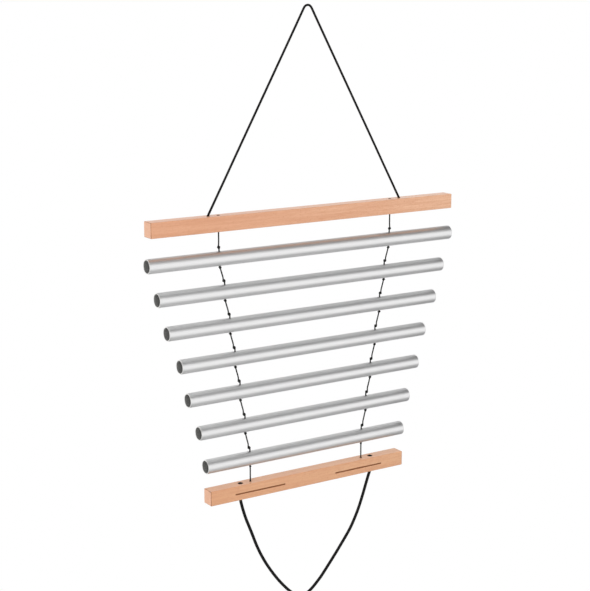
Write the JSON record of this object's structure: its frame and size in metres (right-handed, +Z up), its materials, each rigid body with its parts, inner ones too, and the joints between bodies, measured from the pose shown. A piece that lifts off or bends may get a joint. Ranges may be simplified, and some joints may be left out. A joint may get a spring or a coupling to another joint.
{
  "type": "bar chime",
  "caption": "Hanging chime of graduated metal tubes strung like a rope ladder between two wooden bars, with a hanging cord above and a pull cord below.",
  "frame": {"origin": "the point under the top of the hanging cord where a hook carries it", "axes": "+X along the tubes to the right as seen from the front, +Y to the back, +Z up; the engraved lines are on the front, towards -Y"},
  "size_m": [0.404, 0.016, 0.6877],
  "materials": {
    "aluminium": "drawn, satin anodised",
    "beech": "planed and sanded, matt oiled",
    "black_cord": "braided polyester",
    "grey_string": "braided polyester"
  },
  "bodies": {
    "hanger": {"hanging_cord": "black_cord"},
    "top_bar": {"top_bar": "beech", "hanging_knot_left": "black_cord", "hanging_knot_right": "black_cord", "string_anchor_left": "grey_string", "string_anchor_right": "grey_string"},
    "rung_1": {"string_left_1": "grey_string", "string_right_1": "grey_string"},
    "tube_1": {"tube_1": "aluminium"},
    "rung_2": {"string_left_2": "grey_string", "string_right_2": "grey_string"},
    "tube_2": {"tube_2": "aluminium"},
    "rung_3": {"string_left_3": "grey_string", "string_right_3": "grey_string"},
    "tube_3": {"tube_3": "aluminium"},
    "rung_4": {"string_left_4": "grey_string", "string_right_4": "grey_string"},
    "tube_4": {"tube_4": "aluminium"},
    "rung_5": {"string_left_5": "grey_string", "string_right_5": "grey_string"},
    "tube_5": {"tube_5": "aluminium"},
    "rung_6": {"string_left_6": "grey_string", "string_right_6": "grey_string"},
    "tube_6": {"tube_6": "aluminium"},
    "rung_7": {"string_left_7": "grey_string", "string_right_7": "grey_string"},
    "tube_7": {"tube_7": "aluminium"},
    "bottom_bar": {"bottom_bar": "beech", "string_left_tail": "grey_string", "string_right_tail": "grey_string", "pull_knot_left": "black_cord", "pull_knot_right": "black_cord"},
    "pull_cord": {"pull_cord": "black_cord"}
  },
  "joints": [
    {"name": "top_bar_swing", "type": "hinge", "parent": "hanger", "child": "top_bar", "pos_m": [0, 0, -0.2181], "axis": [1, 0, 0], "range_deg": [-30, 30]},
    {"name": "rung_1_swing", "type": "hinge", "parent": "top_bar", "child": "rung_1", "pos_m": [0, 0, -0.2378], "axis": [1, 0, 0], "range_deg": [-20, 20]},
    {"name": "rung_2_swing", "type": "hinge", "parent": "rung_1", "child": "rung_2", "pos_m": [0, 0, -0.2772], "axis": [1, 0, 0], "range_deg": [-20, 20]},
    {"name": "rung_3_swing", "type": "hinge", "parent": "rung_2", "child": "rung_3", "pos_m": [0, 0, -0.3148], "axis": [1, 0, 0], "range_deg": [-20, 20]},
    {"name": "rung_4_swing", "type": "hinge", "parent": "rung_3", "child": "rung_4", "pos_m": [0, 0, -0.35292], "axis": [1, 0, 0], "range_deg": [-20, 20]},
    {"name": "rung_5_swing", "type": "hinge", "parent": "rung_4", "child": "rung_5", "pos_m": [0, 0, -0.39156], "axis": [1, 0, 0], "range_deg": [-20, 20]},
    {"name": "rung_6_swing", "type": "hinge", "parent": "rung_5", "child": "rung_6", "pos_m": [0, 0, -0.43072], "axis": [1, 0, 0], "range_deg": [-20, 20]},
    {"name": "rung_7_swing", "type": "hinge", "parent": "rung_6", "child": "rung_7", "pos_m": [0, 0, -0.4704], "axis": [1, 0, 0], "range_deg": [-20, 20]},
    {"name": "bottom_bar_swing", "type": "hinge", "parent": "rung_7", "child": "bottom_bar", "pos_m": [0, 0, -0.5106], "axis": [1, 0, 0], "range_deg": [-20, 20]},
    {"name": "pull_cord_swing", "type": "hinge", "parent": "bottom_bar", "child": "pull_cord", "pos_m": [0, 0, -0.5472], "axis": [1, 0, 0], "range_deg": [-45, 45]},
    {"name": "tube_1_lift", "type": "slide", "parent": "rung_1", "child": "tube_1", "axis": [0, 0, 1], "range_m": [0, 0.0025]},
    {"name": "tube_2_lift", "type": "slide", "parent": "rung_2", "child": "tube_2", "axis": [0, 0, 1], "range_m": [0, 0.0025]},
    {"name": "tube_3_lift", "type": "slide", "parent": "rung_3", "child": "tube_3", "axis": [0, 0, 1], "range_m": [0, 0.0025]},
    {"name": "tube_4_lift", "type": "slide", "parent": "rung_4", "child": "tube_4", "axis": [0, 0, 1], "range_m": [0, 0.0025]},
    {"name": "tube_5_lift", "type": "slide", "parent": "rung_5", "child": "tube_5", "axis": [0, 0, 1], "range_m": [0, 0.0025]},
    {"name": "tube_6_lift", "type": "slide", "parent": "rung_6", "child": "tube_6", "axis": [0, 0, 1], "range_m": [0, 0.0025]},
    {"name": "tube_7_lift", "type": "slide", "parent": "rung_7", "child": "tube_7", "axis": [0, 0, 1], "range_m": [0, 0.0025]}
  ]
}
